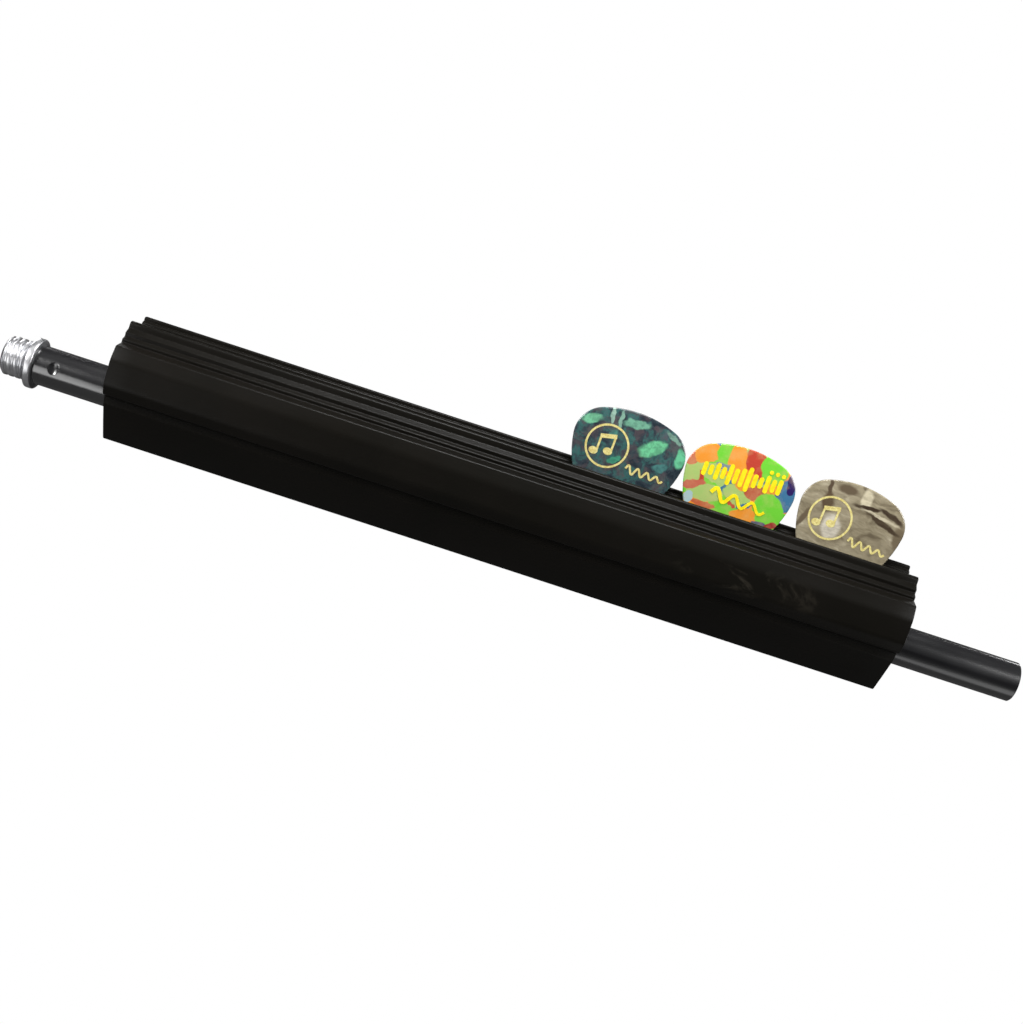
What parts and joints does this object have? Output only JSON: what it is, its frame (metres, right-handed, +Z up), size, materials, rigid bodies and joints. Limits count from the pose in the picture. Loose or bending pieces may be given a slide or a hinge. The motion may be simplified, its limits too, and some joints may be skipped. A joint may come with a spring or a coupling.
{
  "type": "pick holder",
  "caption": "Flexible black extrusion that clips along a thin stand rod and grips guitar picks upright in its long slot; the rod ends in a male thread with a stop flange.",
  "frame": {"origin": "on the rod's axis, at the inner end of the male thread", "axes": "+X runs along the rod from the thread towards its plain end, +Z is up and the pick slot opens that way, -Y is the side that carries the plain broad face"},
  "size_m": [0.2506, 0.0314, 0.0444],
  "materials": {
    "black_rod": "satin black powder coat",
    "zinc_plate": "bright zinc plate, turned",
    "black_rubber": "satin, extruded",
    "teal_pearl": "polished pearl celluloid",
    "confetti": "polished celluloid in coloured patches",
    "grey_pearl": "polished pearl celluloid",
    "gold_foil": "hot-stamped foil",
    "yellow_ink": "printed ink"
  },
  "bodies": {
    "rod": {"rod_tube": "black_rod", "threaded_end": "zinc_plate"},
    "clip": {"holder": "black_rubber"},
    "first_pick": {"pick_teal": "teal_pearl"},
    "second_pick": {"pick_confetti": "confetti"},
    "third_pick": {"pick_grey": "grey_pearl"}
  },
  "joints": [
    {"name": "clip_slide", "type": "slide", "parent": "rod", "child": "clip", "axis": [1, 0, 0], "range_m": [-0.02, 0.0315]},
    {"name": "first_pick_pull", "type": "slide", "parent": "clip", "child": "first_pick", "axis": [0, 0, 1], "range_m": [0, 0.02]},
    {"name": "second_pick_pull", "type": "slide", "parent": "clip", "child": "second_pick", "axis": [0, 0, 1], "range_m": [0, 0.02]},
    {"name": "third_pick_pull", "type": "slide", "parent": "clip", "child": "third_pick", "axis": [0, 0, 1], "range_m": [0, 0.02]}
  ]
}
